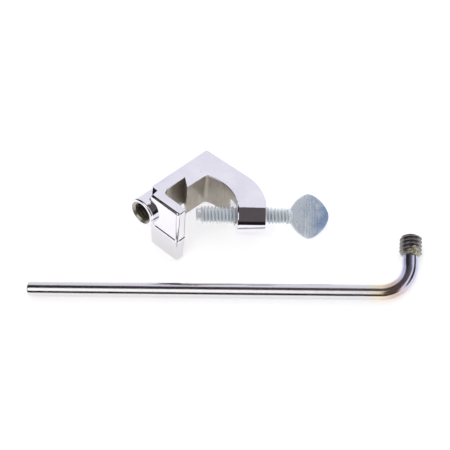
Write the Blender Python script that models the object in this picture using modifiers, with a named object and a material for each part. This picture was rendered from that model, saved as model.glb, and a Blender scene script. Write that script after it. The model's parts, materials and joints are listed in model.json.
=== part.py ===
"""A small cast C clamp with a spade-head thumbscrew, and the bent steel rod that screws into its boss.

The clamp is designed flat in its own frame, in which the thumbscrew runs along +X, the two arms lie in
the XY plane and Z is the casting's thickness. An empty then tips it over to rest on a table beside the
rod, which lies along the world's X axis with its short arm along +Y.
"""
import math

import bmesh
import bpy
from mathutils import Matrix, Vector

MM = 0.001
GAP = 0.3 * MM                       # between touching pieces

# casting
SLAB_TOP = 7.1 * MM
SLAB_BOTTOM = -6.7 * MM
APEX_Y = 27.3 * MM                   # outer corner of the two arms
ARM_DEPTH = 9.3 * MM                 # straight arm, outer face to inner face
NOTCH_DEPTH = 5.0 * MM               # outer face to the notch floor
TOOTH_A = 20.0 * MM                  # distances along the straight arm, from the apex
NOTCH_START_A = 16.8 * MM
LEG_INNER_A = 28.1 * MM
LEG_FRONT_A = 32.2 * MM
ARM_END_A = 30.4 * MM                # outer corner of the straight arm, cut back from the leg's front
LEG_SIDE_B = 3.0 * MM                # distances across the straight arm, from its outer face
LEG_END_B = 17.0 * MM
LEG_BOTTOM = -17.5 * MM
OUTER_ARC_CENTRE = Vector((0.6, -1.3)) * MM
OUTER_ARC_RADIUS = 20.3 * MM
INNER_ARC_CENTRE = Vector((-7.3, -3.3)) * MM
INNER_ARC_RADIUS = 17.9 * MM
OUTER_ARC_END_DEG = 2.0
INNER_ARC_START_DEG = 9.0
INNER_ARC_END_DEG = 62.0
THROAT_CORNER = Vector((-0.3, 13.3)) * MM      # where the straight arm's inner face meets the arc
ARM_END_Y = -1.2 * MM                # the curved arm ends inside the collar
APEX_ROUND = 1.0 * MM
THROAT_ROUND = 0.8 * MM
NOTCH_ROUND = 2.2 * MM
LEG_FRONT_ROUND = 0.9 * MM
LEG_BACK_ROUND = 0.6 * MM
LEG_SIDE_ROUND = 0.3 * MM
ARM_END_ROUND = 0.5 * MM
COLLAR_RADIUS = 6.95 * MM
COLLAR_START_X = 10.2 * MM
COLLAR_END_X = 20.9 * MM
EDGE_ROUND = 0.7 * MM

# boss for the rod
BOSS_B = 0.1 * MM
BOSS_Z = -2.8 * MM
BOSS_RADIUS = 5.9 * MM
BOSS_MOUTH_A = 34.2 * MM
BOSS_BACK_A = 20.5 * MM
BOSS_HOLE_DEPTH = 9.2 * MM
BOSS_EDGE_ROUND = 0.5 * MM
COUNTERSINK_WIDTH = 0.8 * MM
COUNTERSINK_DEPTH = 1.6 * MM
COLLAR_TAP_START_TURN = 9            # counted along the thumbscrew's thread
COLLAR_TAP_TURNS = 13
BOSS_TAP_TURNS = 7

# thumbscrew, 1/4-20
SCREW_RADIUS = 3.175 * MM
SCREW_PITCH = 1.27 * MM
SCREW_TIP_X = -4.2 * MM
SCREW_POINT_LENGTH = 1.3 * MM
SCREW_POINT_RADIUS = 2.2 * MM
SCREW_POINT_CHAMFER = 0.4 * MM
SCREW_CHAMFER = 0.6 * MM
SCREW_NECK_X = 28.8 * MM
HEAD_CENTRE_X = 36.9 * MM
HEAD_BACK_X = 28.2 * MM
HEAD_TIP_X = 45.7 * MM               # where the diamond's sides would meet, before rounding
HEAD_HALF_WIDTH = 10.0 * MM          # likewise
HEAD_SIDE_ROUND = 4.2 * MM
HEAD_TIP_ROUND = 5.5 * MM
HEAD_THICKNESS = 2.7 * MM
HEAD_EDGE_ROUND = 0.6 * MM
HEAD_NECK_ROUND = 0.8 * MM
NECK_LENGTH = 5.0 * MM
NECK_TIP_RADIUS = 0.9 * MM
HEAD_TURN_DEG = 33.0                 # about the screw's axis, as the clamp is stored

# rod and its threaded sleeve, 5/16-18
ROD_RADIUS = 2.78 * MM
ROD_LONG_ARM = 140.0 * MM            # end face to the short arm's axis
ROD_SHORT_ARM = 20.8 * MM            # long arm's axis to the end face
ROD_BEND_RADIUS = 9.8 * MM
STUD_RADIUS = 3.97 * MM
STUD_PITCH = 1.411 * MM
STUD_LENGTH = 6.8 * MM
STUD_CHAMFER = 0.7 * MM
STUD_BORE_CLEARANCE = 0.08 * MM
BRAZE_LENGTH = 1.2 * MM
BRAZE_RADIUS = 3.7 * MM
BRAZE_SHOULDER = 0.3 * MM

# threads
THREAD_DEPTH = 0.61                  # of the pitch
THREAD_STEPS = (0.0, 0.3125, 0.4375, 0.75)     # root ends, crest starts, crest ends, root starts
THREAD_SEGMENTS = 24
TAP_CLEARANCE = 0.1 * MM
BLANK_CLEARANCE = 0.05 * MM          # a blank that trims a thread to length stands this far off its crests
OVERSHOOT = 1.0 * MM                 # a cutter runs this far past the face it opens

# how the two pieces lie on the table
CLAMP_TILT_DEG = (-14.95, 14.47, 6.74)         # about the world's X, then Y, then Z axis
ROD_CORNER_FROM_SCREW = Vector((72.4, -25.3)) * MM

PARTS = "rod_clamp_set"
CUTTERS = "cutters"


def clear_scene():
    for obj in list(bpy.data.objects):
        bpy.data.objects.remove(obj, do_unlink=True)


def new_collection(name):
    collection = bpy.data.collections.new(name)
    bpy.context.scene.collection.children.link(collection)
    return collection


def new_material(name, colour, metallic, roughness):
    material = bpy.data.materials.new(name)
    material.use_nodes = True
    shader = material.node_tree.nodes["Principled BSDF"]
    shader.inputs["Base Color"].default_value = (*colour, 1.0)
    shader.inputs["Metallic"].default_value = metallic
    shader.inputs["Roughness"].default_value = roughness
    return material


def add_object(name, mesh, collection, matrix=None):
    obj = bpy.data.objects.new(name, mesh)
    bpy.data.collections[collection].objects.link(obj)
    if matrix is not None:
        obj.matrix_world = matrix
    if collection == CUTTERS:
        obj.hide_render = True
        obj.display_type = "WIRE"
    return obj


def mesh_from_bmesh(name, bm):
    bmesh.ops.recalc_face_normals(bm, faces=bm.faces)
    mesh = bpy.data.meshes.new(name)
    bm.to_mesh(mesh)
    bm.free()
    mesh.shade_smooth()
    mesh.set_sharp_from_angle(angle=math.radians(30))
    return mesh


def arc(centre, radius, start_deg, end_deg, steps):
    points = []
    for step in range(steps + 1):
        angle = math.radians(start_deg + (end_deg - start_deg) * step / steps)
        points.append(centre + radius * Vector((math.cos(angle), math.sin(angle))))
    return points


def rounded_outline(corners, steps=4):
    """Turn (point, radius) corners into a closed outline, with each corner rounded to its radius."""
    outline = []
    count = len(corners)
    for index, (corner, radius) in enumerate(corners):
        if radius == 0.0:
            outline.append(corner)
            continue
        to_before = (corners[index - 1][0] - corner).normalized()
        to_after = (corners[(index + 1) % count][0] - corner).normalized()
        half_angle = to_before.angle(to_after) / 2
        centre = corner + (to_before + to_after).normalized() * radius / math.sin(half_angle)
        first = corner + to_before * radius / math.tan(half_angle) - centre
        last = corner + to_after * radius / math.tan(half_angle) - centre
        sweep = math.atan2(first.x * last.y - first.y * last.x, first.dot(last))
        for step in range(steps + 1):
            outline.append(centre + Matrix.Rotation(sweep * step / steps, 2) @ first)
    return outline


def plate(name, outline, low, high, collection, edge_round=0.0):
    """A flat outline in XY, from z = low to z = high, with its rims rounded."""
    curve = bpy.data.curves.new(name, "CURVE")
    curve.dimensions = "2D"
    curve.fill_mode = "BOTH"
    curve.extrude = (high - low) / 2
    spline = curve.splines.new("POLY")
    spline.points.add(len(outline) - 1)
    for point, place in zip(spline.points, outline):
        point.co = (place.x, place.y, 0.0, 1.0)
    spline.use_cyclic_u = True
    curve_object = add_object(name + "_outline", curve, CUTTERS)
    evaluated = curve_object.evaluated_get(bpy.context.evaluated_depsgraph_get())
    bm = bmesh.new()
    bm.from_mesh(bpy.data.meshes.new_from_object(evaluated))
    bpy.data.objects.remove(curve_object)
    bmesh.ops.remove_doubles(bm, verts=bm.verts, dist=0.00001)
    bmesh.ops.dissolve_limit(bm, angle_limit=math.radians(1), verts=bm.verts, edges=bm.edges)
    bmesh.ops.translate(bm, verts=bm.verts, vec=(0, 0, (low + high) / 2))
    obj = add_object(name, mesh_from_bmesh(name, bm), collection)
    if edge_round:
        add_bevel(obj, edge_round)
    return obj


def add_bevel(obj, width, segments=2):
    bevel = obj.modifiers.new("round_edges", "BEVEL")
    bevel.width = width
    bevel.segments = segments
    bevel.limit_method = "ANGLE"
    bevel.angle_limit = math.radians(40)


def turned(name, profile, collection, steps=32, closed=False):
    """Turn a profile of (radius, height) points, listed from top to bottom, about Z."""
    bm = bmesh.new()
    verts = [bm.verts.new((radius, 0.0, height)) for radius, height in profile]
    for upper, lower in zip(verts, verts[1:]):
        bm.edges.new((upper, lower))
    if closed:
        bm.edges.new((verts[-1], verts[0]))
    mesh = bpy.data.meshes.new(name)
    bm.to_mesh(mesh)
    bm.free()
    obj = add_object(name, mesh, collection)
    screw = obj.modifiers.new("turn", "SCREW")
    screw.steps = steps
    screw.render_steps = steps
    screw.use_merge_vertices = True
    screw.merge_threshold = 0.00001
    return obj


def thread_mesh(name, radius, pitch, turns):
    """A right-hand thread about +Z: a grid whose rows climb one pitch in each turn, closed by two fans."""
    per_turn = len(THREAD_STEPS)
    root = radius - THREAD_DEPTH * pitch
    radii = (root, radius, radius, root)
    rows = turns * per_turn + 1
    bm = bmesh.new()
    grid = []
    for row in range(rows):
        row_height = pitch * (row // per_turn + THREAD_STEPS[row % per_turn])
        ring = []
        for column in range(THREAD_SEGMENTS):
            angle = 2 * math.pi * column / THREAD_SEGMENTS
            climb = pitch * column / THREAD_SEGMENTS
            row_radius = radii[row % per_turn]
            place = (row_radius * math.cos(angle), row_radius * math.sin(angle), row_height + climb)
            ring.append(bm.verts.new(place))
        grid.append(ring)
    last = THREAD_SEGMENTS - 1
    for row in range(rows - 1):
        for column in range(last):
            bm.faces.new((grid[row][column], grid[row][column + 1],
                          grid[row + 1][column + 1], grid[row + 1][column]))
    for row in range(rows - 1 - per_turn):
        bm.faces.new((grid[row][last], grid[row + per_turn][0],
                      grid[row + per_turn + 1][0], grid[row + 1][last]))
    bottom_loop = list(grid[0]) + [grid[row][0] for row in range(per_turn, 0, -1)]
    top_loop = list(grid[-1]) + [grid[row][last] for row in range(rows - 2, rows - 2 - per_turn, -1)]
    for loop, height in ((bottom_loop, pitch / 2), (top_loop, pitch * (turns + 0.5))):
        hub = bm.verts.new((0.0, 0.0, height))
        for index, vert in enumerate(loop):
            bm.faces.new((vert, loop[(index + 1) % len(loop)], hub))
    return mesh_from_bmesh(name, bm)


def boolean(obj, other, operation):
    modifier = obj.modifiers.new(operation.lower() + "_" + other.name, "BOOLEAN")
    modifier.operation = operation
    modifier.object = other
    modifier.solver = "EXACT"


def arm_point(a, b):
    """A point a along the straight arm from the apex and b across it from its outer face."""
    diagonal = math.sqrt(0.5)
    return Vector((diagonal * (b - a), APEX_Y - diagonal * (a + b)))


def along(origin, direction):
    """A matrix that carries +Z onto a direction in the clamp's frame."""
    return Matrix.Translation(origin) @ direction.to_track_quat("Z", "Y").to_matrix().to_4x4()


def slab_outline():
    tangent_deg = math.degrees(math.asin(OUTER_ARC_RADIUS / (APEX_Y - OUTER_ARC_CENTRE.y)))
    outer = arc(OUTER_ARC_CENTRE, OUTER_ARC_RADIUS, tangent_deg, OUTER_ARC_END_DEG, 8)
    inner = arc(INNER_ARC_CENTRE, INNER_ARC_RADIUS, INNER_ARC_START_DEG, INNER_ARC_END_DEG, 7)
    corners = [(Vector((0.0, APEX_Y)), APEX_ROUND)]
    corners += [(point, 0.0) for point in outer]
    corners += [(Vector((outer[-1].x, ARM_END_Y)), 0.0), (Vector((inner[0].x, ARM_END_Y)), 0.0)]
    corners += [(point, 0.0) for point in inner]
    corners += [
        (THROAT_CORNER, THROAT_ROUND),
        (arm_point(TOOTH_A, ARM_DEPTH), 0.0),
        (arm_point(NOTCH_START_A, NOTCH_DEPTH), 0.0),
        (arm_point(LEG_INNER_A, NOTCH_DEPTH), NOTCH_ROUND),
        (arm_point(LEG_INNER_A, LEG_END_B), LEG_BACK_ROUND),
        (arm_point(LEG_FRONT_A, LEG_END_B), LEG_FRONT_ROUND),
        (arm_point(LEG_FRONT_A, LEG_SIDE_B), LEG_SIDE_ROUND),
        (arm_point(ARM_END_A, 0.0), ARM_END_ROUND),
    ]
    corners.reverse()
    return rounded_outline(corners)


def leg_outline():
    corners = [
        (arm_point(LEG_INNER_A, LEG_SIDE_B), LEG_BACK_ROUND),
        (arm_point(LEG_INNER_A, LEG_END_B), LEG_BACK_ROUND),
        (arm_point(LEG_FRONT_A, LEG_END_B), LEG_FRONT_ROUND),
        (arm_point(LEG_FRONT_A, LEG_SIDE_B), LEG_SIDE_ROUND),
    ]
    corners.reverse()
    return rounded_outline(corners)


def boss_frame(a):
    place = arm_point(a, BOSS_B)
    toward_mouth = arm_point(1.0, 0.0) - arm_point(0.0, 0.0)
    return along(Vector((place.x, place.y, BOSS_Z)), Vector((toward_mouth.x, toward_mouth.y, 0.0)))


def make_clamp_body(clamp_frame):
    body = plate("clamp_body", slab_outline(), SLAB_BOTTOM, SLAB_TOP, PARTS)
    leg = plate("leg", leg_outline(), LEG_BOTTOM, SLAB_TOP - EDGE_ROUND, CUTTERS)

    collar_length = COLLAR_END_X - COLLAR_START_X
    collar = turned("collar", [
        (0.0, collar_length),
        (COLLAR_RADIUS - EDGE_ROUND, collar_length),
        (COLLAR_RADIUS, collar_length - EDGE_ROUND),
        (COLLAR_RADIUS, EDGE_ROUND),
        (COLLAR_RADIUS - EDGE_ROUND, 0.0),
        (0.0, 0.0),
    ], CUTTERS)
    collar.matrix_world = along(Vector((COLLAR_START_X, 0.0, 0.0)), Vector((1, 0, 0)))

    boss_length = BOSS_MOUTH_A - BOSS_BACK_A
    boss = turned("boss", [
        (0.0, boss_length),
        (BOSS_RADIUS - BOSS_EDGE_ROUND, boss_length),
        (BOSS_RADIUS, boss_length - BOSS_EDGE_ROUND),
        (BOSS_RADIUS, BOSS_RADIUS / 2),
        (BOSS_RADIUS * 0.87, BOSS_RADIUS / 4),
        (BOSS_RADIUS * 0.5, 0.0),
        (0.0, 0.0),
    ], CUTTERS)
    boss.matrix_world = boss_frame(BOSS_BACK_A)

    for piece in (boss, leg, collar):
        boolean(body, piece, "UNION")
    cutters = cut_collar_thread() + cut_boss_thread()
    for piece in cutters:
        boolean(body, piece, "DIFFERENCE")
    for piece in [body, leg, collar, boss] + cutters:
        piece.parent = clamp_frame
    return body


def cut_collar_thread():
    """The tapped hole for the thumbscrew, in step with the thumbscrew's own thread."""
    mesh = thread_mesh("collar_tap", SCREW_RADIUS + TAP_CLEARANCE, SCREW_PITCH, COLLAR_TAP_TURNS)
    start = Vector((screw_thread_start() + COLLAR_TAP_START_TURN * SCREW_PITCH, 0, 0))
    return [add_object("collar_tap", mesh, CUTTERS, along(start, Vector((1, 0, 0))))]


def cut_boss_thread():
    """The blind tapped hole for the rod's sleeve, with a countersunk mouth."""
    mesh = thread_mesh("boss_tap", STUD_RADIUS + TAP_CLEARANCE, STUD_PITCH, BOSS_TAP_TURNS + 2)
    tap = add_object("boss_tap", mesh, CUTTERS, boss_frame(BOSS_MOUTH_A - BOSS_TAP_TURNS * STUD_PITCH))
    drill_radius = STUD_RADIUS + TAP_CLEARANCE - THREAD_DEPTH * STUD_PITCH
    point_length = drill_radius / 4
    drill = turned("boss_drill", [
        (0.0, BOSS_HOLE_DEPTH + OVERSHOOT),
        (drill_radius - BLANK_CLEARANCE, BOSS_HOLE_DEPTH + OVERSHOOT),
        (drill_radius - BLANK_CLEARANCE, point_length),
        (0.0, 0.0),
    ], CUTTERS)
    drill.matrix_world = boss_frame(BOSS_MOUTH_A - BOSS_HOLE_DEPTH)
    mouth_radius = STUD_RADIUS + TAP_CLEARANCE + COUNTERSINK_WIDTH
    countersink = turned("boss_countersink", [
        (0.0, OVERSHOOT),
        (mouth_radius, OVERSHOOT),
        (mouth_radius, 0.0),
        (drill_radius, -COUNTERSINK_DEPTH),
        (0.0, -COUNTERSINK_DEPTH),
    ], CUTTERS)
    countersink.matrix_world = boss_frame(BOSS_MOUTH_A)
    return [countersink, drill, tap]


def screw_thread_start():
    return SCREW_TIP_X - SCREW_PITCH


def make_thumbscrew(clamp_frame):
    """The threaded shank and spade head in one piece; the plain point is the next function's."""
    thread_x = SCREW_TIP_X + SCREW_POINT_LENGTH + GAP
    turns = math.ceil((SCREW_NECK_X - screw_thread_start()) / SCREW_PITCH) + 1
    mesh = thread_mesh("thumbscrew", SCREW_RADIUS, SCREW_PITCH, turns)
    screw = add_object("thumbscrew", mesh, PARTS,
                       along(Vector((screw_thread_start(), 0, 0)), Vector((1, 0, 0))))

    blank_length = SCREW_NECK_X - thread_x
    blank_radius = SCREW_RADIUS + BLANK_CLEARANCE
    blank = turned("shank_blank", [
        (0.0, blank_length),
        (blank_radius, blank_length),
        (blank_radius, SCREW_CHAMFER),
        (blank_radius - SCREW_CHAMFER, 0.0),
        (0.0, 0.0),
    ], CUTTERS)
    blank.matrix_world = along(Vector((thread_x, 0, 0)), Vector((1, 0, 0)))

    core_radius = SCREW_RADIUS - THREAD_DEPTH * SCREW_PITCH
    neck = turned("neck", [
        (0.0, NECK_LENGTH),
        (NECK_TIP_RADIUS, NECK_LENGTH),
        (SCREW_RADIUS - BLANK_CLEARANCE, NECK_LENGTH / 6),
        (core_radius - BLANK_CLEARANCE, 0.0),
        (0.0, 0.0),
    ], CUTTERS)
    neck.matrix_world = along(Vector((SCREW_NECK_X - SCREW_PITCH, 0, 0)), Vector((1, 0, 0)))

    corners = [
        (Vector((HEAD_BACK_X, 0.0)), HEAD_NECK_ROUND),
        (Vector((HEAD_CENTRE_X, -HEAD_HALF_WIDTH)), HEAD_SIDE_ROUND),
        (Vector((HEAD_TIP_X, 0.0)), HEAD_TIP_ROUND),
        (Vector((HEAD_CENTRE_X, HEAD_HALF_WIDTH)), HEAD_SIDE_ROUND),
    ]
    head = plate("head", rounded_outline(corners, 6), -HEAD_THICKNESS / 2, HEAD_THICKNESS / 2,
                 CUTTERS, HEAD_EDGE_ROUND)
    head.rotation_euler.x = math.radians(HEAD_TURN_DEG)

    boolean(screw, blank, "INTERSECT")
    boolean(screw, neck, "UNION")
    boolean(screw, head, "UNION")
    for piece in (screw, blank, neck, head):
        piece.parent = clamp_frame
    return screw


def make_screw_point(clamp_frame):
    point = turned("screw_point", [
        (0.0, SCREW_POINT_LENGTH),
        (SCREW_POINT_RADIUS, SCREW_POINT_LENGTH),
        (SCREW_POINT_RADIUS, SCREW_POINT_CHAMFER),
        (SCREW_POINT_RADIUS - SCREW_POINT_CHAMFER, 0.0),
        (0.0, 0.0),
    ], PARTS, 24)
    point.matrix_world = along(Vector((SCREW_TIP_X, 0, 0)), Vector((1, 0, 0)))
    point.parent = clamp_frame
    return point


def make_rod(rod_frame):
    """The bent rod, drawn from its short arm's end, through the bend, to its long arm's end."""
    curve = bpy.data.curves.new("l_rod", "CURVE")
    curve.dimensions = "3D"
    curve.bevel_depth = ROD_RADIUS
    curve.bevel_resolution = 4
    curve.use_fill_caps = True
    bend_centre = Vector((-ROD_BEND_RADIUS, ROD_BEND_RADIUS))
    route = [Vector((0.0, ROD_SHORT_ARM - GAP))]
    route += arc(bend_centre, ROD_BEND_RADIUS, 0.0, -90.0, 9)
    route.append(Vector((-ROD_LONG_ARM, 0.0)))
    spline = curve.splines.new("POLY")
    spline.points.add(len(route) - 1)
    for point, place in zip(spline.points, route):
        point.co = (place.x, place.y, 0.0, 1.0)
    rod = add_object("l_rod", curve, PARTS)
    rod.parent = rod_frame
    return rod


def make_stud(rod_frame):
    """The threaded sleeve on the short arm: a thread trimmed to length and bored for the rod."""
    turns = math.ceil(STUD_LENGTH / STUD_PITCH) + 2
    start_y = ROD_SHORT_ARM - STUD_LENGTH - 1.5 * STUD_PITCH
    thread_frame = along(Vector((0, start_y, 0)), Vector((0, 1, 0)))
    stud = add_object("rod_stud", thread_mesh("rod_stud", STUD_RADIUS, STUD_PITCH, turns), PARTS,
                      thread_frame)
    blank_radius = STUD_RADIUS + BLANK_CLEARANCE
    blank = turned("stud_blank", [
        (0.0, STUD_LENGTH),
        (blank_radius - STUD_CHAMFER, STUD_LENGTH),
        (blank_radius, STUD_LENGTH - STUD_CHAMFER),
        (blank_radius, STUD_CHAMFER / 2),
        (blank_radius - STUD_CHAMFER / 2, 0.0),
        (0.0, 0.0),
    ], CUTTERS)
    blank.matrix_world = along(Vector((0, ROD_SHORT_ARM - STUD_LENGTH, 0)), Vector((0, 1, 0)))
    bore_radius = ROD_RADIUS + STUD_BORE_CLEARANCE
    bore = turned("stud_bore", [
        (0.0, 2 * STUD_LENGTH),
        (bore_radius, 2 * STUD_LENGTH),
        (bore_radius, 0.0),
        (0.0, 0.0),
    ], CUTTERS)
    bore.matrix_world = along(Vector((0, ROD_SHORT_ARM - 1.5 * STUD_LENGTH, 0)), Vector((0, 1, 0)))
    boolean(stud, blank, "INTERSECT")
    boolean(stud, bore, "DIFFERENCE")
    for piece in (stud, blank, bore):
        piece.parent = rod_frame
    return stud


def make_braze(rod_frame):
    """The ring of braze in the corner between the sleeve's inner end and the rod."""
    inner_radius = ROD_RADIUS + STUD_BORE_CLEARANCE
    start_y = ROD_SHORT_ARM - STUD_LENGTH - GAP
    braze = turned("braze_fillet", [
        (inner_radius, 0.0),
        (BRAZE_RADIUS, 0.0),
        (BRAZE_RADIUS - BRAZE_SHOULDER, -BRAZE_LENGTH / 2),
        (inner_radius, -BRAZE_LENGTH),
    ], PARTS, 24, closed=True)
    braze.matrix_world = along(Vector((0, start_y, 0)), Vector((0, 1, 0)))
    braze.parent = rod_frame
    return braze


def world_corners(objects):
    """The lowest and highest corners of the objects' common box."""
    graph = bpy.context.evaluated_depsgraph_get()
    places = []
    for obj in objects:
        evaluated = obj.evaluated_get(graph)
        mesh = evaluated.to_mesh()
        places += [evaluated.matrix_world @ vert.co for vert in mesh.vertices]
        evaluated.to_mesh_clear()
    low = Vector([min(place[axis] for place in places) for axis in range(3)])
    high = Vector([max(place[axis] for place in places) for axis in range(3)])
    return low, high


def new_empty(name):
    empty = bpy.data.objects.new(name, None)
    bpy.context.scene.collection.objects.link(empty)
    empty.empty_display_size = 5 * MM
    return empty


def main():
    clear_scene()
    new_collection(PARTS)
    new_collection(CUTTERS)
    clamp_frame = new_empty("clamp_frame")
    rod_frame = new_empty("rod_frame")

    chrome = new_material("chrome", (0.72, 0.72, 0.75), 1.0, 0.15)
    zinc = new_material("zinc", (0.50, 0.56, 0.64), 1.0, 0.35)
    steel = new_material("steel", (0.42, 0.41, 0.42), 1.0, 0.25)
    dark_steel = new_material("dark_steel", (0.16, 0.15, 0.15), 1.0, 0.4)
    braze_metal = new_material("braze", (0.42, 0.36, 0.24), 1.0, 0.45)

    clamp_pieces = {
        make_clamp_body(clamp_frame): chrome,
        make_thumbscrew(clamp_frame): zinc,
        make_screw_point(clamp_frame): zinc,
    }
    rod_pieces = {
        make_rod(rod_frame): steel,
        make_stud(rod_frame): dark_steel,
        make_braze(rod_frame): braze_metal,
    }
    for piece, material in {**clamp_pieces, **rod_pieces}.items():
        piece.data.materials.append(material)

    clamp_frame.rotation_euler = [math.radians(angle) for angle in CLAMP_TILT_DEG]
    bpy.context.view_layer.update()
    clamp_frame.location.z = -world_corners(clamp_pieces)[0].z
    sleeve_stands_proud = STUD_RADIUS - ROD_RADIUS
    rod_frame.rotation_euler.x = math.asin(sleeve_stands_proud / (ROD_SHORT_ARM - STUD_LENGTH))
    rod_frame.location = (*ROD_CORNER_FROM_SCREW, ROD_RADIUS)
    bpy.context.view_layer.update()
    low, high = world_corners([*clamp_pieces, *rod_pieces])
    for frame in (clamp_frame, rod_frame):
        frame.location.xy -= (low.xy + high.xy) / 2
    rod_frame.location.z -= world_corners(rod_pieces)[0].z
    bpy.context.view_layer.update()


main()
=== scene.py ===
"""The looks of the rod clamp set: a chromed C clamp with a zinc-plated thumbscrew, beside its bent rod.

Each metal piece is modelled again here, finer than the frame's solid it stands for and in the same
place. The clamp's pieces are made in the clamp's own frame (X along the thumbscrew towards its head,
Z the casting's thickness), and the rod's pieces in the rod's (long arm along -X, short arm along +Y).
Each finished mesh is then moved into the world. Noise scales are per metre, so 1000 is about 1 mm.
"""
import json
import math

import bmesh
import bpy
from mathutils import Matrix, Vector, noise


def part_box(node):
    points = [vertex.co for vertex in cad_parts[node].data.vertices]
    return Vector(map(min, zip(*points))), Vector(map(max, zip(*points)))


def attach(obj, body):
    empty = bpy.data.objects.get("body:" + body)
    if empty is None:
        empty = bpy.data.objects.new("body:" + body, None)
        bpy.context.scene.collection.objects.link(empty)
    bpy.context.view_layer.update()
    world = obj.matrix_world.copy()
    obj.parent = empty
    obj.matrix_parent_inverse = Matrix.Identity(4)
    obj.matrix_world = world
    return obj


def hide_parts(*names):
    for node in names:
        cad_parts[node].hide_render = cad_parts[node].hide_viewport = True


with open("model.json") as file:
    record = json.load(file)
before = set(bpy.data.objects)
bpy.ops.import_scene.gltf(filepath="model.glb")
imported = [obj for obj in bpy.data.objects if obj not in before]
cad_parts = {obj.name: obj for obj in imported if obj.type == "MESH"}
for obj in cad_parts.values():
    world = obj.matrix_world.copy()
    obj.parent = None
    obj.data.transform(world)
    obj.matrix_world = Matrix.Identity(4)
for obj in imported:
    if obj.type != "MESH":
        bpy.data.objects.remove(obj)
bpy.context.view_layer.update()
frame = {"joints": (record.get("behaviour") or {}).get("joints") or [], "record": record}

MM = 0.001
SHARP_DEG = 32                       # shading breaks at edges sharper than this
THREAD_SHARP_DEG = 50
ROD_SHARP_DEG = 40
BRAZE_SHARP_DEG = 80
MESH_WELD = 1e-6                     # points of a new mesh this close are one point
MESH_SLIVER = 5e-7
CUT_WELD = 1e-7                      # and so are points this close after a Boolean cut
CORNER_STEPS = 8
RIM_STEPS = 5

# casting: a is the distance along the straight arm from the apex, b across it from its outer face
SLAB_TOP = 7.1 * MM
SLAB_BOTTOM = -6.7 * MM
APEX_Y = 27.3 * MM
ARM_DEPTH = 9.3 * MM
NOTCH_DEPTH = 5.0 * MM
TOOTH_A = 20.0 * MM
NOTCH_START_A = 16.8 * MM
LEG_INNER_A = 28.1 * MM
LEG_FRONT_A = 32.2 * MM
ARM_END_A = 28.9 * MM
LEG_SIDE_B = 3.0 * MM
LEG_END_B = 17.0 * MM
LEG_BOTTOM = -17.5 * MM
OUTER_ARC_CENTRE = Vector((0.6, -1.3)) * MM
OUTER_ARC_RADIUS = 20.3 * MM
OUTER_ARC_END_DEG = 5.0
INNER_ARC_CENTRE = Vector((-7.3, -3.3)) * MM
INNER_ARC_RADIUS = 17.9 * MM
INNER_ARC_START_DEG = 12.0
INNER_ARC_END_DEG = 62.0
THROAT_CORNER = Vector((-0.3, 13.3)) * MM
ARM_END_Y = 0.0
COLLAR_RADIUS = 7.1 * MM
COLLAR_START_X = 10.2 * MM
COLLAR_END_X = 20.9 * MM
COLLAR_ROUND = 0.6 * MM
COLLAR_BORE_CLEARANCE = 0.12 * MM
COLLAR_STEPS = 128

# rims: how far each edge of the casting is rounded
FINE_RIM = 0.3 * MM
ARM_END_RIM = 0.12 * MM
OUTER_RIM = 0.45 * MM
LEG_BACK_RIM = 0.5 * MM
LEG_RIM = 1.1 * MM
APEX_ROUND = 1.0 * MM
THROAT_ROUND = 1.6 * MM
NOTCH_ROUND = 2.2 * MM
LEG_CORNER_ROUND = 1.35 * MM
LEG_BACK_ROUND = 0.95 * MM
ARM_END_ROUND = 0.65 * MM
LEG_CREASE_DEPTH = 0.4 * MM          # the crease between the upper leg and the lower one
LEG_CREASE_HEIGHT = 0.55 * MM
LEG_STEP = 0.03 * MM                 # the lower leg stands this far inside the upper one
LEG_DRAFT = 0.4 * MM
LEG_FOOT = 0.35 * MM
LEG_FOOT_CORNER = 0.2 * MM
LEG_OVERLAP = 4 * MM                 # how far the lower leg runs up inside the upper one

# boss
BOSS_B = 0.1 * MM
BOSS_Z = -2.8 * MM
BOSS_RADIUS = 5.9 * MM
BOSS_MOUTH_A = 34.2 * MM
BOSS_BACK_A = 20.5 * MM
BOSS_HOLE_DEPTH = 9.2 * MM
BOSS_ROUND = 0.7 * MM
BOSS_BACK_STEPS = 8
BOSS_BACK_FLATTEN = 0.6              # the boss's closed end is a dome this share as high as it is wide
BOSS_BORE_RADIUS = 4.35 * MM
COUNTERSINK_WIDTH = 0.25 * MM
COUNTERSINK_DEPTH = 0.5 * MM
DRILL_SHARE = 0.88                   # the share of the thread's depth that the drill leaves for the tap
TAP_TURN_DEG = 1.7                   # keeps the tap's points off the drilled hole's

# thumbscrew
SCREW_RADIUS = 3.175 * MM
SCREW_PITCH = 1.27 * MM
SCREW_TIP_X = -4.2 * MM
SCREW_POINT_LENGTH = 1.3 * MM
SCREW_POINT_RADIUS = 2.2 * MM
SCREW_POINT_ROUND = 0.55 * MM
SCREW_CHAMFER = 0.6 * MM
SCREW_NECK_X = 29.8 * MM
NECK_LENGTH = 2.6 * MM
NECK_SINK = 0.6 * MM                 # how far the neck's cone starts inside the thread
NECK_STEPS = 12
HEAD_CENTRE_X = 36.65 * MM
HEAD_HALF_LENGTH = 7.4 * MM
HEAD_HALF_WIDTH = 8.3 * MM
HEAD_FULLNESS = 1.6                  # 1 is a diamond and 2 an ellipse
HEAD_THICKNESS = 2.7 * MM
HEAD_NECK_SHARE = 1.12               # of the thickness, at the neck
HEAD_THINNING = 0.38                 # and how much of it is lost by the tip
HEAD_EDGE_WIDTH = 1.4 * MM           # narrower than this, the head thins too
HEAD_END_ZONE = 0.8 * MM
HEAD_AROUND = 56
HEAD_TURN_DEG = 33.0
SERRATION_START_X = 34.6 * MM
SERRATION_END_X = 40.4 * MM
SERRATION_PITCH = 0.95 * MM
SERRATION_DEPTH = 0.22 * MM
SERRATION_SHARPNESS = 0.7

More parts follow.
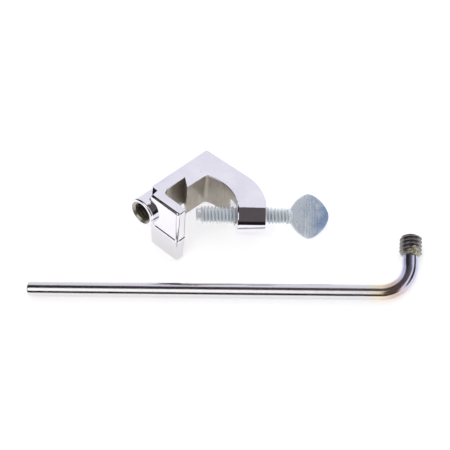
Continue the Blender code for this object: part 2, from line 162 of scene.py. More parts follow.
# rod, its sleeve and the braze
ROD_RADIUS = 2.78 * MM
ROD_SHORT_ARM = 20.8 * MM
ROD_BEND_RADIUS = 9.8 * MM
ROD_CHAMFER = 0.45 * MM
ROD_END_CHAMFER = 0.3 * MM           # at the end that is inside the sleeve
ROD_STRAIGHT_STEPS = 60
ROD_BEND_STEPS = 32
ROD_AROUND = 48
STUD_RADIUS = 3.97 * MM
STUD_PITCH = 1.411 * MM
STUD_LENGTH = 6.8 * MM
STUD_CHAMFER = 0.7 * MM
STUD_BORE_CLEARANCE = 0.08 * MM
BRAZE_BLOB_TURN = math.radians(-65)  # the braze has crept up the sleeve here, near the top
BRAZE_BLOB_SPREAD = math.radians(42)
BRAZE_AROUND = 96
BRAZE_RIPPLE = 0.06
# (radius, rise, how much further out and how much higher it stands in the middle of the blob), in mm
BRAZE_SECTION = (
    (2.74, 0.10, 0.0, 0.2), (2.74, -0.45, 0.0, -0.3), (2.95, -0.50, 0.1, -0.45), (3.15, -0.25, 0.5, -0.2),
    (3.30, 0.00, 0.72, 0.2), (3.30, 0.15, 0.78, 1.2), (3.20, 0.20, 0.55, 2.0), (3.00, 0.20, 0.2, 1.5),
)
GAP = 0.3 * MM

# threads: (share of a turn along the pitch, share of the thread's depth out from the root)
THREAD_DEPTH = 0.61
THREAD_ROWS = (
    (0.0, 0.0), (0.06, 0.1), (0.26, 0.9), (0.3125, 1.0), (0.375, 1.03), (0.4375, 1.0),
    (0.49, 0.9), (0.69, 0.1), (0.75, 0.0), (0.875, -0.03),
)
THREAD_SEGMENTS = 72
THREAD_END_SLOPE = 2.5               # how fast a thread closes past its end

# materials, stage and light
NOISE_ROUGHNESS = 0.55
FLOOR_GLOW = 0.46                    # the table is lit from inside too, which keeps its shadows faint
FLOOR_ROUGHNESS = 0.7
FLOOR_HALF_SIZE = 1.5
BLACK = (0.0, 0.0, 0.0)
WHITE = (1.0, 1.0, 1.0)
ROOM_DARK = (0.012, 0.011, 0.012)
LEFT_BOX = (1.35, 1.33, 1.30)        # the two soft boxes that the metal mirrors
RIGHT_BOX = (1.15, 1.14, 1.15)
SWEEP_SLANT = 0.11                   # the sweep's top edge climbs by this towards +X
SWEEP_SLANT_X = 0.205
LIGHT_SIZE = 0.9
LIGHT_POWER = 2.3
LIGHT_HEIGHT = 0.75
LIGHT_BACK = 0.12

# camera: how it looks at a point near the middle of the set
CAMERA_AIM = Vector((1.17, -1.23, 8.0)) * MM
CAMERA_DISTANCE = 436.7 * MM
CAMERA_AZIMUTH_DEG = 23.97           # towards +X from straight in front
CAMERA_ELEVATION_DEG = 59.67
CAMERA_ROLL_DEG = 21.08
CAMERA_LENS = 96.0
CAMERA_SENSOR = 36.0
CAMERA_CLIP = (0.01, 10.0)

joints = {joint["name"]: joint for joint in frame["joints"]}
mounts = {mount["name"]: mount for mount in frame["record"]["mounts"]}


# ---------------------------------------------------------------- frames

def clamp_matrix():
    """The clamp's frame: X along the thumbscrew, Z out of the casting's top, at the hinge's point."""
    x_axis = Vector(joints["screw_turn"]["axis"]).normalized()
    z_axis = Vector(mounts["casting_top"]["axis"])
    z_axis = (z_axis - z_axis.dot(x_axis) * x_axis).normalized()
    rotation = Matrix((x_axis, z_axis.cross(x_axis), z_axis)).transposed()
    return Matrix.Translation(joints["screw_turn"]["pos_m"]) @ rotation.to_4x4()


def rod_matrix():
    """The rod's frame: the corner of its centre line, tipped so that the proud sleeve rests on the table."""
    rod_low, rod_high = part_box("l_rod")
    stud_low, stud_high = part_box("rod_stud")
    corner = Vector(((stud_low.x + stud_high.x) / 2, rod_low.y + ROD_RADIUS, rod_low.z + ROD_RADIUS))
    tip = math.asin((STUD_RADIUS - ROD_RADIUS) / (ROD_SHORT_ARM - STUD_LENGTH))
    return Matrix.Translation(corner) @ Matrix.Rotation(tip, 4, "X")


CLAMP = clamp_matrix()
ROD = rod_matrix()


def along(origin, direction):
    """A matrix that carries +Z onto a direction."""
    return Matrix.Translation(origin) @ direction.to_track_quat("Z", "Y").to_matrix().to_4x4()


SCREW_AXIS = along(Vector((0, 0, 0)), Vector((1, 0, 0)))


# ---------------------------------------------------------------- mesh helpers

def arc(centre, radius, start_deg, end_deg, steps):
    """Points along a plan arc, its two ends included."""
    points = []
    for step in range(steps + 1):
        angle = math.radians(start_deg + (end_deg - start_deg) * step / steps)
        points.append(centre + radius * Vector((math.cos(angle), math.sin(angle))))
    return points


def rounded_outline(corners):
    """Turn (point, radius, *marks) corners into (point, *marks), with each corner rounded."""
    outline = []
    count = len(corners)
    for index, (corner, radius, *marks) in enumerate(corners):
        if radius == 0.0:
            outline.append((corner, *marks))
            continue
        to_before = (corners[index - 1][0] - corner).normalized()
        to_after = (corners[(index + 1) % count][0] - corner).normalized()
        half_angle = to_before.angle(to_after) / 2
        centre = corner + (to_before + to_after).normalized() * radius / math.sin(half_angle)
        first = corner + to_before * radius / math.tan(half_angle) - centre
        last = corner + to_after * radius / math.tan(half_angle) - centre
        sweep = math.atan2(first.x * last.y - first.y * last.x, first.dot(last))
        for step in range(CORNER_STEPS + 1):
            outline.append((centre + Matrix.Rotation(sweep * step / CORNER_STEPS, 2) @ first, *marks))
    return outline


def arm_point(a, b):
    """A plan point from the distance along the straight arm and the distance across it."""
    diagonal = math.sqrt(0.5)
    return Vector((diagonal * (b - a), APEX_Y - diagonal * (a + b)))


def miters(points):
    """For each point of an anticlockwise outline, the move that shifts both its sides inward by 1."""
    moves = []
    count = len(points)
    for index, point in enumerate(points):
        before = (point - points[index - 1]).normalized()
        after = (points[(index + 1) % count] - point).normalized()
        inward_before = Vector((-before.y, before.x))
        inward_after = Vector((-after.y, after.x))
        moves.append((inward_before + inward_after) / (1 + inward_before.dot(inward_after)))
    return moves


def new_mesh(name, bm, materials, sharp_deg=SHARP_DEG):
    bmesh.ops.remove_doubles(bm, verts=bm.verts, dist=MESH_WELD)
    bmesh.ops.dissolve_degenerate(bm, edges=bm.edges, dist=MESH_SLIVER)
    bmesh.ops.recalc_face_normals(bm, faces=bm.faces)
    mesh = bpy.data.meshes.new(name)
    bm.to_mesh(mesh)
    bm.free()
    for material in materials:
        mesh.materials.append(material)
    mesh.shade_smooth()
    mesh.set_sharp_from_angle(angle=math.radians(sharp_deg))
    return mesh


def new_object(name, mesh, matrix):
    """Link a mesh as an object, with its place in the mesh itself."""
    mesh.transform(matrix)
    obj = bpy.data.objects.new(name, mesh)
    bpy.context.scene.collection.objects.link(obj)
    return obj


def loft(rings, materials, name, second=None):
    """Skin closed rings of points and cap both ends.

    second is (marks, level): on that level, faces between two marked points take the second material.
    """
    bm = bmesh.new()
    grid = [[bm.verts.new(point) for point in ring] for ring in rings]
    count = len(grid[0])
    for level, (lower, upper) in enumerate(zip(grid, grid[1:])):
        for index in range(count):
            after = (index + 1) % count
            face = bm.faces.new((lower[index], lower[after], upper[after], upper[index]))
            if second and level == second[1] and second[0][index] and second[0][after]:
                face.material_index = 1
    bm.faces.new(list(reversed(grid[0])))
    bm.faces.new(grid[-1])
    return new_mesh(name, bm, materials)


def rim_plate(name, outline, low, high, materials):
    """A plate whose outline is (point, top rim radius, in the throat?), with quarter-round rims.

    The bottom rims are no larger than FINE_RIM.
    """
    points = [entry[0] for entry in outline]
    moves = miters(points)
    rings = []
    for end, side in ((low, 1), (high, -1)):
        steps = range(RIM_STEPS + 1) if side == 1 else range(RIM_STEPS, -1, -1)
        for step in steps:
            turn = math.pi / 2 * step / RIM_STEPS
            ring = []
            for (point, rim, _), move in zip(outline, moves):
                if side == 1:
                    rim = min(rim, FINE_RIM)
                place = point + move * rim * (1 - math.sin(turn))
                ring.append((place.x, place.y, end + side * rim * (1 - math.cos(turn))))
            rings.append(ring)
    marks = [entry[2] for entry in outline]
    return loft(rings, materials, name, (marks, RIM_STEPS))


def turned(name, profile, materials, steps=96):
    """Turn (radius, height) points about Z. The profile starts and ends on the axis."""
    bm = bmesh.new()
    rings = []
    for radius, height in profile:
        if radius == 0.0:
            rings.append([bm.verts.new((0, 0, height))])
            continue
        ring = []
        for step in range(steps):
            angle = 2 * math.pi * step / steps
            ring.append(bm.verts.new((radius * math.cos(angle), radius * math.sin(angle), height)))
        rings.append(ring)
    for upper, lower in zip(rings, rings[1:]):
        for step in range(steps):
            after = (step + 1) % steps
            corners = [upper[step % len(upper)], upper[after % len(upper)],
                       lower[after % len(lower)], lower[step % len(lower)]]
            bm.faces.new(list(dict.fromkeys(corners)))
    return new_mesh(name, bm, materials)


def quarter(radius, size):
    """The quarter-round of a turned profile's top edge at height 0, from its top to its outside."""
    turns = [math.pi / 2 * step / RIM_STEPS for step in range(RIM_STEPS + 1)]
    return [(radius - size * (1 - math.sin(turn)), -size * (1 - math.cos(turn))) for turn in turns]


def threaded(name, radius, pitch, start, low, high, limit, materials, bore=0.0):
    """A right-hand thread about Z, from low to high. limit(z) caps its radius, and bore hollows it."""
    per_turn = len(THREAD_ROWS)
    depth = THREAD_DEPTH * pitch
    first_turn = math.floor((low - start) / pitch) - 3
    last_turn = math.ceil((high - start) / pitch) + 3
    bm = bmesh.new()
    grid = []
    for row in range((last_turn - first_turn) * per_turn + 1):
        share, rise = THREAD_ROWS[row % per_turn]
        ring = []
        for column in range(THREAD_SEGMENTS + 1):
            angle = 2 * math.pi * column / THREAD_SEGMENTS
            height = start + pitch * (first_turn + row // per_turn + share + column / THREAD_SEGMENTS)
            past_end = max(low - height, height - high, 0.0)
            height = min(max(height, low), high)
            row_radius = min(radius - depth * (1 - rise), limit(height))
            row_radius = max(row_radius - THREAD_END_SLOPE * past_end, bore)
            ring.append(bm.verts.new((row_radius * math.cos(angle), row_radius * math.sin(angle), height)))
        grid.append(ring)
    if bore:
        grid.append(grid[0])
    for lower, upper in zip(grid, grid[1:]):
        for column in range(THREAD_SEGMENTS):
            bm.faces.new((lower[column], lower[column + 1], upper[column + 1], upper[column]))
    return new_mesh(name, bm, materials, THREAD_SHARP_DEG)


def combined(name, base, steps, matrix):
    """Run Boolean steps of (operation, mesh, matrix) on a base mesh and return the finished object."""
    obj = new_object(name, base, Matrix.Identity(4))
    tools = []
    for operation, mesh, place in steps:
        tool = new_object(mesh.name, mesh, place)
        modifier = obj.modifiers.new(mesh.name, "BOOLEAN")
        modifier.operation = operation
        modifier.object = tool
        modifier.solver = "EXACT"
        tools.append(tool)
    graph = bpy.context.evaluated_depsgraph_get()
    finished = bpy.data.meshes.new_from_object(obj.evaluated_get(graph))
    obj.modifiers.clear()
    obj.data = finished
    for tool in tools:
        bpy.data.objects.remove(tool)
    bm = bmesh.new()
    bm.from_mesh(finished)
    bmesh.ops.remove_doubles(bm, verts=bm.verts, dist=CUT_WELD)
    bmesh.ops.dissolve_degenerate(bm, edges=bm.edges, dist=CUT_WELD)
    bm.to_mesh(finished)
    bm.free()
    finished.transform(matrix)
    finished.shade_smooth()
    finished.set_sharp_from_angle(angle=math.radians(SHARP_DEG))
    weighted = obj.modifiers.new("even_shading", "WEIGHTED_NORMAL")
    weighted.keep_sharp = True
    return obj


def finish_piece(obj, body, node):
    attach(obj, body)
    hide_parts(node)


# ---------------------------------------------------------------- materials

class NodeTree:
    """A small helper that adds and links the nodes of one tree."""

    def __init__(self, tree):
        self.tree = tree

    def add(self, kind, **settings):
        node = self.tree.nodes.new(kind)
        for key, value in settings.items():
            setattr(node, key, value)
        return node

    def link(self, value, socket):
        if isinstance(value, bpy.types.NodeSocket):
            self.tree.links.new(value, socket)
        else:
            socket.default_value = value

    def ramp(self, value, *stops):
        node = self.add("ShaderNodeValToRGB")
        elements = node.color_ramp.elements
        while len(elements) < len(stops):
            elements.new(0.5)
        for element, (position, colour) in zip(elements, stops):
            element.position = position
            element.color = (*colour, 1.0)
        self.link(value, node.inputs["Fac"])
        return node.outputs["Color"]

    def math(self, operation, first, second=0.0, third=0.0):
        node = self.add("ShaderNodeMath", operation=operation)
        for value, socket in zip((first, second, third), node.inputs):
            self.link(value, socket)
        return node.outputs[0]

    def mix(self, factor, first, second):
        node = self.add("ShaderNodeMix", data_type="RGBA")
        self.link(factor, node.inputs[0])
        for value, socket in ((first, node.inputs[6]), (second, node.inputs[7])):
            self.link(value if isinstance(value, bpy.types.NodeSocket) else (*value, 1.0), socket)
        return node.outputs[2]

    def split(self, vector):
        node = self.add("ShaderNodeSeparateXYZ")
        self.link(vector, node.inputs[0])
        return node.outputs["X"], node.outputs["Y"], node.outputs["Z"]


class Surface(NodeTree):
    """One metal's material. Where a place is given, its coordinates are measured in that frame."""

    def __init__(self, name, metallic=1.0, place=None):
        self.material = bpy.data.materials.new(name)
        self.material.use_nodes = True
        super().__init__(self.material.node_tree)
        self.shader = self.tree.nodes["Principled BSDF"]
        self.shader.inputs["Metallic"].default_value = metallic
        self.coords = self.add("ShaderNodeTexCoord").outputs["Object"]
        if place:
            mapping = self.add("ShaderNodeMapping")
            self.link(self.coords, mapping.inputs["Vector"])
            mapping.inputs["Location"].default_value = place.inverted().translation
            mapping.inputs["Rotation"].default_value = place.inverted().to_euler()
            self.coords = mapping.outputs["Vector"]

    def scaled(self, scale, coords=None):
        mapping = self.add("ShaderNodeMapping")
        self.link(coords or self.coords, mapping.inputs["Vector"])
        mapping.inputs["Scale"].default_value = scale
        return mapping.outputs["Vector"]

    def noise(self, scale, detail, coords=None):
        node = self.add("ShaderNodeTexNoise")
        self.link(coords or self.coords, node.inputs["Vector"])
        node.inputs["Scale"].default_value = scale
        node.inputs["Detail"].default_value = detail
        node.inputs["Roughness"].default_value = NOISE_ROUGHNESS
        return node.outputs["Fac"]

    def level(self, value, low, high, low_out, high_out):
        """Carry a value from the range low..high to low_out..high_out, and hold it there beyond."""
        node = self.add("ShaderNodeMapRange")
        self.link(value, node.inputs["Value"])
        numbers = {"From Min": low, "From Max": high, "To Min": low_out, "To Max": high_out}
        for socket, number in numbers.items():
            node.inputs[socket].default_value = number
        return node.outputs["Result"]

    def pointiness(self):
        """About 0.5 on flat metal, more on crests and less in roots."""
        return self.add("ShaderNodeNewGeometry").outputs["Pointiness"]

    def bump(self, height, distance, strength, below=None):
        node = self.add("ShaderNodeBump")
        node.inputs["Distance"].default_value = distance
        node.inputs["Strength"].default_value = strength
        self.link(height, node.inputs["Height"])
        if below:
            self.link(below, node.inputs["Normal"])
        return node.outputs["Normal"]

    def finish(self, colour, roughness, normal=None):
        self.link(colour, self.shader.inputs["Base Color"])
        self.link(roughness, self.shader.inputs["Roughness"])
        if normal:
            self.link(normal, self.shader.inputs["Normal"])
        return self.material


def chrome_material():
    """Polished chrome: ripple, fine scratches, a few dull specks, a painted highlight along its edges and
    painted shade on the lower leg.
    """
    m = Surface("polished_chrome", 1.0, CLAMP)
    _, _, height = m.split(m.coords)
    ripple = m.noise(260, 2)
    cloud = m.noise(120, 5)
    scratch = m.noise(900, 3, m.scaled((0.12, 1.0, 1.0)))
    specks = m.level(m.noise(700, 1), 0.74, 0.80, 0.0, 1.0)
    colour = m.ramp(cloud, (0.30, (0.80, 0.79, 0.84)), (0.70, (0.88, 0.875, 0.91)))
    colour = m.mix(specks, colour, (0.62, 0.60, 0.63))
    # painted highlight: the colour turns lighter where the surface is convex, along edges and rims
    colour = m.mix(m.level(m.pointiness(), 0.52, 0.60, 0.0, 0.6), colour, (0.93, 0.93, 0.94))
    # painted shade: below the slab the colour turns greyer, fully so from 9 mm down along the lower leg
    colour = m.mix(m.level(height, -7 * MM, -9 * MM, 0.0, 1.0), colour, (0.71, 0.70, 0.725))
    roughness = m.level(cloud, 0.3, 0.7, 0.03, 0.075)
    roughness = m.math("ADD", roughness, m.level(scratch, 0.62, 0.80, 0.0, 0.06))
    normal = m.bump(ripple, 0.00006, 0.5)
    normal = m.bump(scratch, 0.000004, 0.4, normal)
    return m.finish(colour, roughness, normal)


def unpolished_material():
    """The throat's walls and the boss's bore: satin warm grey, with streaks through the casting."""
    m = Surface("unpolished_casting", 0.8, CLAMP)
    streaks = m.noise(750, 4, m.scaled((1.0, 1.0, 0.12)))
    patches = m.noise(160, 4)
    colour = m.ramp(patches, (0.30, (0.37, 0.335, 0.285)), (0.70, (0.50, 0.46, 0.40)))
    colour = m.mix(m.level(streaks, 0.35, 0.75, 0.0, 0.35), colour, (0.60, 0.57, 0.52))
    roughness = m.level(streaks, 0.3, 0.7, 0.24, 0.40)
    normal = m.bump(streaks, 0.00004, 0.6)
    return m.finish(colour, roughness, normal)


def zinc_material():
    """Blue-passivated zinc plate: paler near the thread, deeper blue at the tip, finely grainy, with painted
    shade in the thread's roots and painted highlights on its crests and edges.
    """
    m = Surface("zinc_plate", 0.42, CLAMP)
    grain = m.noise(2600, 3)
    patches = m.noise(260, 4)
    along_screw, _, _ = m.split(m.coords)
    place = m.level(along_screw, 27 * MM, 43 * MM, 0.0, 1.0)
    place = m.math("ADD", place, m.level(patches, 0.3, 0.7, -0.22, 0.22))
    colour = m.ramp(place, (0.0, (0.84, 0.89, 0.92)), (0.50, (0.74, 0.83, 0.92)), (0.95, (0.28, 0.41, 0.68)))
    colour = m.mix(m.level(grain, 0.35, 0.7, 0.0, 0.30), colour, (0.78, 0.84, 0.92))
    edges = m.pointiness()
    # painted shade: the thread's roots and grooves are darkened
    colour = m.mix(m.level(edges, 0.495, 0.435, 0.0, 0.9), colour, (0.13, 0.16, 0.21))
    # painted highlight: the crests and edges are lightened
    colour = m.mix(m.level(edges, 0.52, 0.59, 0.0, 0.9), colour, (0.95, 0.97, 0.99))
    roughness = m.level(grain, 0.3, 0.7, 0.24, 0.44)
    normal = m.bump(grain, 0.00005, 0.55)
    return m.finish(colour, roughness, normal)


def rod_material():
    """Drawn and polished steel with lengthwise lines, heat-tinted from the bend to the sleeve."""
    m = Surface("polished_steel")
    uv = m.add("ShaderNodeTexCoord").outputs["UV"]
    lines = m.noise(60, 4, m.scaled((0.5, 14.0, 1.0), uv))
    patches = m.noise(14, 4, m.scaled((1.0, 6.0, 1.0), uv))
    along_rod, _, _ = m.split(uv)
    heat = m.math("ADD", along_rod, m.level(patches, 0.3, 0.7, -0.02, 0.02))
    bare = (0.76, 0.75, 0.77)
    colour = m.ramp(heat, (0.0, bare), (0.80, bare), (0.835, (0.84, 0.74, 0.54)), (0.862, (0.62, 0.46, 0.40)),
                    (0.885, (0.64, 0.61, 0.72)), (0.93, (0.54, 0.56, 0.72)), (1.0, (0.46, 0.47, 0.56)))
    colour = m.mix(m.level(lines, 0.45, 0.75, 0.0, 0.3), colour, (0.42, 0.41, 0.42))
    roughness = m.level(lines, 0.3, 0.7, 0.12, 0.24)
    normal = m.bump(lines, 0.000012, 0.5)
    return m.finish(colour, roughness, normal)


def stud_material():
    """Dark, once-heated steel thread, with painted highlights on its crests."""
    m = Surface("dark_thread")
    grain = m.noise(1500, 4)
    colour = m.ramp(grain, (0.3, (0.17, 0.16, 0.165)), (0.7, (0.30, 0.285, 0.29)))
    # painted highlight: the crests are lightened
    colour = m.mix(m.level(m.pointiness(), 0.52, 0.60, 0.0, 0.8), colour, (0.55, 0.53, 0.55))
    roughness = m.level(grain, 0.3, 0.7, 0.22, 0.42)
    return m.finish(colour, roughness, m.bump(grain, 0.00003, 0.5))


def braze_material():
    """Dull olive-gold braze, blotched dark where the flux burned."""
    m = Surface("braze_metal", 0.85)
    blotches = m.noise(700, 5)
    grain = m.noise(2800, 3)
    colour = m.ramp(blotches, (0.32, (0.20, 0.18, 0.13)), (0.50, (0.47, 0.43, 0.30)),
                    (0.68, (0.68, 0.65, 0.52)))
    roughness = m.level(grain, 0.3, 0.7, 0.30, 0.55)
    return m.finish(colour, roughness, m.bump(grain, 0.00006, 0.6))


def floor_material():
    """The plain pale table, faintly clouded and faintly glowing."""
    m = Surface("pale_table", 0.0)
    cloud = m.noise(3, 3)
    colour = m.ramp(cloud, (0.3, (0.90, 0.90, 0.90)), (0.7, (0.92, 0.92, 0.92)))
    m.shader.inputs["Specular IOR Level"].default_value = 0.1
    m.shader.inputs["Emission Color"].default_value = (1.0, 1.0, 1.0, 1.0)
    m.shader.inputs["Emission Strength"].default_value = FLOOR_GLOW
    return m.finish(colour, FLOOR_ROUGHNESS)


# ---------------------------------------------------------------- the clamp's casting

def slab_outline():
    """(point, rim radius, in the throat?) around the casting, anticlockwise."""
    tangent_deg = math.degrees(math.asin(OUTER_ARC_RADIUS / (APEX_Y - OUTER_ARC_CENTRE.y)))
    outer = arc(OUTER_ARC_CENTRE, OUTER_ARC_RADIUS, tangent_deg, OUTER_ARC_END_DEG, 40)
    inner = arc(INNER_ARC_CENTRE, INNER_ARC_RADIUS, INNER_ARC_START_DEG, INNER_ARC_END_DEG, 36)
    corners = [(Vector((0.0, APEX_Y)), APEX_ROUND, OUTER_RIM, False)]
    corners += [(point, 0.0, OUTER_RIM, False) for point in outer]
    corners.append((Vector((outer[-1].x, ARM_END_Y)), 0.0, OUTER_RIM, False))
    corners.append((Vector((inner[0].x, ARM_END_Y)), 0.0, FINE_RIM, True))
    corners += [(point, 0.0, FINE_RIM, True) for point in inner]
    corners += [
        (THROAT_CORNER, THROAT_ROUND, FINE_RIM, True),
        (arm_point(TOOTH_A, ARM_DEPTH), 0.0, FINE_RIM, True),
        (arm_point(NOTCH_START_A, NOTCH_DEPTH), 0.0, FINE_RIM, True),
        (arm_point(LEG_INNER_A, NOTCH_DEPTH), NOTCH_ROUND, FINE_RIM, True),
        (arm_point(LEG_INNER_A, LEG_END_B), LEG_BACK_ROUND, LEG_BACK_RIM, True),
        (arm_point(LEG_FRONT_A, LEG_END_B), LEG_CORNER_ROUND, LEG_RIM, False),
        (arm_point(LEG_FRONT_A, LEG_SIDE_B), 0.0, LEG_RIM, False),
        (arm_point(ARM_END_A, LEG_SIDE_B), 0.0, ARM_END_RIM, False),
        (arm_point(ARM_END_A, 0.0), ARM_END_ROUND, ARM_END_RIM, False),
    ]
    corners.reverse()
    return rounded_outline(corners)


def leg_ring(inset, corner_round, z):
    """A level of the lower leg, drawn in by inset, but only by half of it on the jaw's side."""
    corners = [
        (arm_point(LEG_INNER_A + inset / 2, LEG_SIDE_B + inset), FINE_RIM),
        (arm_point(LEG_INNER_A + inset / 2, LEG_END_B - inset), FINE_RIM),
        (arm_point(LEG_FRONT_A - inset, LEG_END_B - inset), corner_round),
        (arm_point(LEG_FRONT_A - inset, LEG_SIDE_B + inset), FINE_RIM),
    ]
    corners.reverse()
    return [(point.x, point.y, z) for point, in rounded_outline(corners)]


def lower_leg(materials):
    """The hooked part of the leg: drafted, with a front corner that sharpens towards its foot."""
    low_rim = 0.3 * LEG_FOOT
    rings = [
        leg_ring(LEG_DRAFT + LEG_FOOT, LEG_FOOT_CORNER + 0.05 * MM, LEG_BOTTOM),
        leg_ring(LEG_DRAFT + low_rim, LEG_FOOT_CORNER, LEG_BOTTOM + low_rim),
        leg_ring(LEG_DRAFT, LEG_FOOT_CORNER, LEG_BOTTOM + LEG_FOOT),
        leg_ring(LEG_STEP, LEG_CORNER_ROUND, SLAB_BOTTOM - LEG_CREASE_HEIGHT),
        leg_ring(LEG_STEP + LEG_CREASE_DEPTH, LEG_CORNER_ROUND, SLAB_BOTTOM),
        leg_ring(LEG_STEP + LEG_CREASE_DEPTH, LEG_CORNER_ROUND, SLAB_BOTTOM + LEG_OVERLAP),
    ]
    return loft(rings, materials, "lower_leg")


def boss_frame(a):
    """The boss's axis at a distance along the arm, with Z out of its mouth."""
    place = arm_point(a, BOSS_B)
    toward_mouth = arm_point(1.0, 0.0) - arm_point(0.0, 0.0)
    return along(Vector((place.x, place.y, BOSS_Z)), Vector((toward_mouth.x, toward_mouth.y, 0.0)))


def make_collar(materials):
    """The round collar that the thumbscrew runs in, and the cutter for its bore."""
    length = COLLAR_END_X - COLLAR_START_X
    rim = quarter(COLLAR_RADIUS, COLLAR_ROUND)
    profile = [(0.0, length)]
    profile += [(radius, length + height) for radius, height in rim]
    profile += [(radius, -height) for radius, height in reversed(rim)]
    profile.append((0.0, 0.0))
    collar = turned("collar", profile, materials, COLLAR_STEPS)
    bore_radius = SCREW_RADIUS + COLLAR_BORE_CLEARANCE
    flare_radius = SCREW_RADIUS + 3 * MM
    bore = turned("collar_bore", [
        (0.0, length + 2 * MM),
        (flare_radius, length + 2 * MM),
        (bore_radius, length - 0.5 * MM),
        (bore_radius, 0.5 * MM),
        (flare_radius, -2 * MM),
        (0.0, -2 * MM),
    ], materials)
    return collar, bore


def make_boss(materials):
    """The boss's cylinder, with a rounded mouth and a domed back."""
    length = BOSS_MOUTH_A - BOSS_BACK_A
    profile = [(0.0, length)]
    profile += [(radius, length + height) for radius, height in quarter(BOSS_RADIUS, BOSS_ROUND)]
    for step in range(BOSS_BACK_STEPS):
        turn = math.pi / 2 * step / BOSS_BACK_STEPS
        profile.append((BOSS_RADIUS * math.cos(turn), BOSS_RADIUS * BOSS_BACK_FLATTEN * (1 - math.sin(turn))))
    profile.append((0.0, 0.0))
    return turned("boss", profile, materials)


def make_boss_cutters(materials):
    """The drill and countersink, and the tap. Both leave the unpolished material behind them."""
    drill_radius = BOSS_BORE_RADIUS - DRILL_SHARE * THREAD_DEPTH * STUD_PITCH
    drill = turned("boss_mouth", [
        (0.0, MM),
        (BOSS_BORE_RADIUS + COUNTERSINK_WIDTH, MM),
        (BOSS_BORE_RADIUS + COUNTERSINK_WIDTH, 0.0),
        (drill_radius, -COUNTERSINK_DEPTH - 0.3 * MM),
        (drill_radius, 0.8 * MM - BOSS_HOLE_DEPTH),
        (0.0, -BOSS_HOLE_DEPTH),
    ], materials)
    tap = threaded("boss_tap", BOSS_BORE_RADIUS, STUD_PITCH, 0.0, MM - BOSS_HOLE_DEPTH, -COUNTERSINK_DEPTH,
                   lambda z: BOSS_BORE_RADIUS, materials)
    for cutter in (drill, tap):
        for face in cutter.polygons:
            face.material_index = 1
    return drill, tap


def make_casting(materials):
    slab = rim_plate("clamp_casting", slab_outline(), SLAB_BOTTOM, SLAB_TOP, materials)
    collar, bore = make_collar(materials)
    drill, tap = make_boss_cutters(materials)
    at_collar = along(Vector((COLLAR_START_X, 0, 0)), Vector((1, 0, 0)))
    at_mouth = boss_frame(BOSS_MOUTH_A)
    steps = [
        ("UNION", lower_leg(materials), Matrix.Identity(4)),
        ("UNION", make_boss(materials), boss_frame(BOSS_BACK_A)),
        ("UNION", collar, at_collar),
        ("DIFFERENCE", bore, at_collar),
        ("DIFFERENCE", drill, at_mouth),
        ("DIFFERENCE", tap, at_mouth @ Matrix.Rotation(math.radians(TAP_TURN_DEG), 4, "Z")),
    ]
    obj = combined("clamp_casting", slab, steps, CLAMP)
    finish_piece(obj, "clamp", "clamp_body")


# ---------------------------------------------------------------- the thumbscrew

def head_half_width(x):
    """The head's half width at a place along the screw: an outline between a diamond and an ellipse."""
    share = abs(x - HEAD_CENTRE_X) / HEAD_HALF_LENGTH
    return HEAD_HALF_WIDTH * max(0.0, 1 - share ** HEAD_FULLNESS) ** (1 / HEAD_FULLNESS)


def serration(x):
    """The depth of the grooves cut across the middle of the head's length."""
    if not SERRATION_START_X < x < SERRATION_END_X:
        return 0.0
    phase = (x - SERRATION_START_X) / SERRATION_PITCH % 1.0
    return SERRATION_DEPTH * (1 - abs(2 * phase - 1)) ** SERRATION_SHARPNESS


def head_stations(back_x, tip_x):
    """Places along the head for its cross-sections, closer together at its ends and its grooves."""
    stations = []
    x = back_x
    while x < tip_x:
        stations.append(x)
        if min(x - back_x, tip_x - x) < HEAD_END_ZONE:
            x += 0.05 * MM
        elif SERRATION_START_X - MM < x < SERRATION_END_X + MM:
            x += SERRATION_PITCH / 10
        else:
            x += 0.25 * MM
    stations.append(tip_x)
    return stations


def head_ring(x, half_width, half_thick):
    """One cross-section of the head: a flat box with rounded edges, less the groove at x."""
    ring = []
    for step in range(HEAD_AROUND):
        turn = 2 * math.pi * step / HEAD_AROUND
        c, s = math.cos(turn), math.sin(turn)
        y = half_width * math.copysign(abs(c) ** 0.42, c)
        face = abs(s) ** 0.30
        z = math.copysign((half_thick - serration(x) * min(1.0, face * 1.02)) * face, s)
        ring.append((x, y, z))
    return ring


def make_head(materials):
    """The flattened spade: cross-sections along the screw, thick at the neck and thinner at the tip."""
    back_x = HEAD_CENTRE_X - HEAD_HALF_LENGTH
    tip_x = HEAD_CENTRE_X + HEAD_HALF_LENGTH
    rings = []
    for x in head_stations(back_x, tip_x):
        share = (x - back_x) / (tip_x - back_x)
        half_width = max(head_half_width(x), 0.02 * MM)
        half_thick = HEAD_THICKNESS / 2 * (HEAD_NECK_SHARE - HEAD_THINNING * share)
        half_thick *= min(1.0, half_width / HEAD_EDGE_WIDTH) ** 0.5
        rings.append(head_ring(x, half_width, half_thick))
    return loft(rings, materials, "screw_head")


